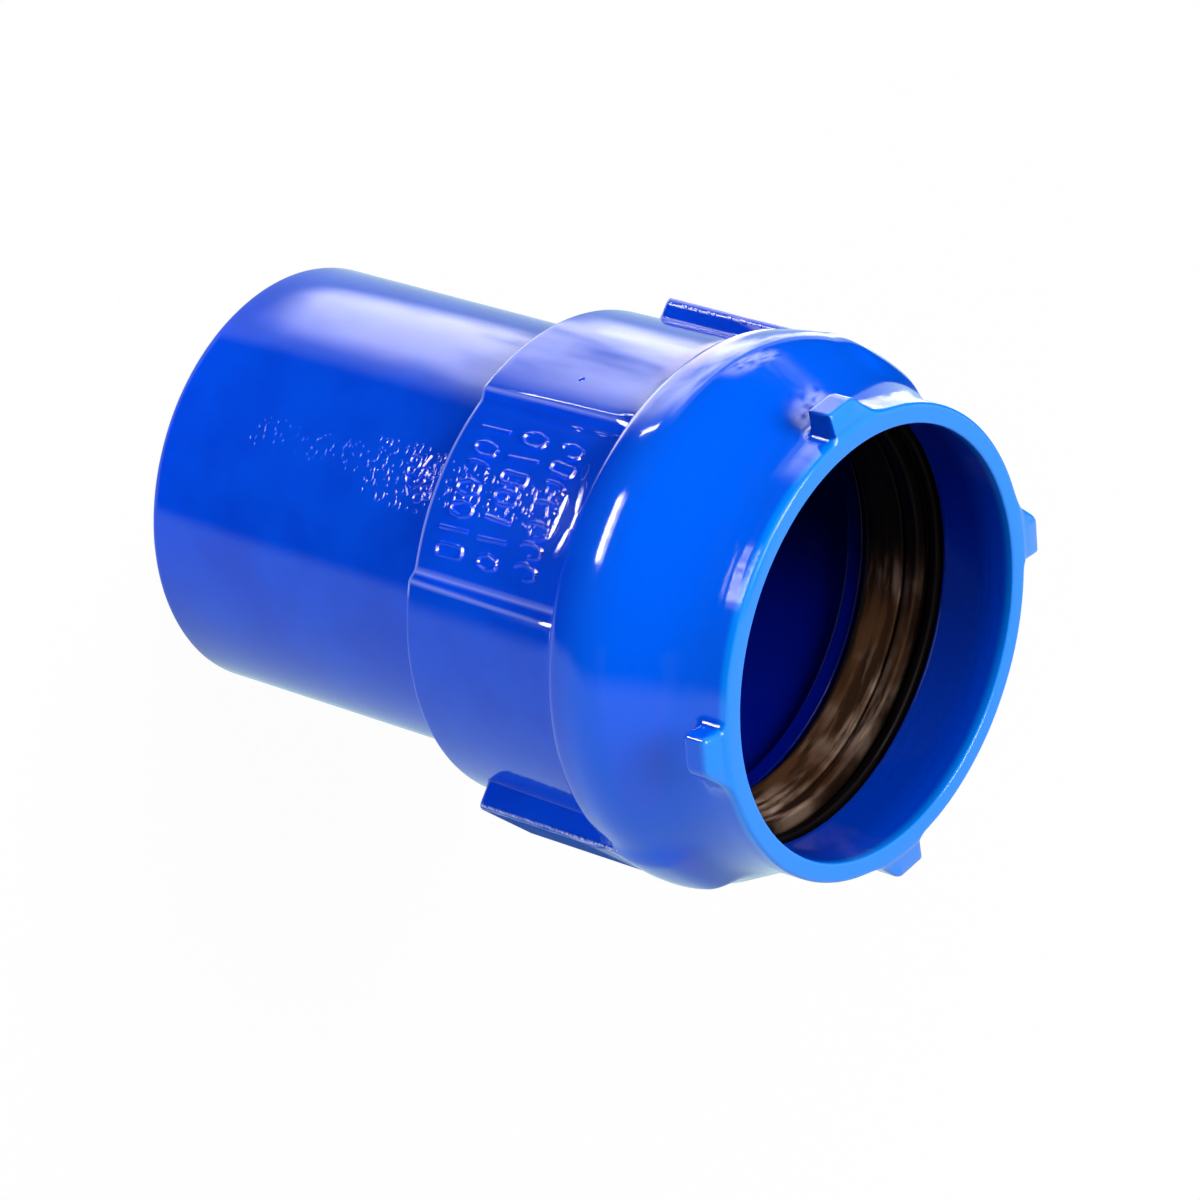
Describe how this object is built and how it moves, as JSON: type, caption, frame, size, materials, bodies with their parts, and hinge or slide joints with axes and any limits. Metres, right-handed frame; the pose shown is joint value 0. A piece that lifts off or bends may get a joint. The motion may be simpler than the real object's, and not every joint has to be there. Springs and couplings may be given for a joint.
{
  "type": "pipe transition adaptor",
  "caption": "Cast iron pipe transition adaptor: a plain spigot, a thicker collar and a bulged push-fit socket that holds a rubber sealing ring.",
  "frame": {"origin": "centre of the spigot's end face, on the pipe's axis", "axes": "+Z along the pipe's axis towards the socket's mouth, -Y out of the recessed marking panel, +X and -X out of the two side bars"},
  "size_m": [0.154, 0.154, 0.212],
  "materials": {
    "coating": "glossy fusion-bonded blue coating over cast iron",
    "rubber": "black moulded rubber with a soft sheen"
  },
  "bodies": {
    "root": {"cast_body": "coating", "rubber_ring": "rubber"}
  },
  "joints": []
}
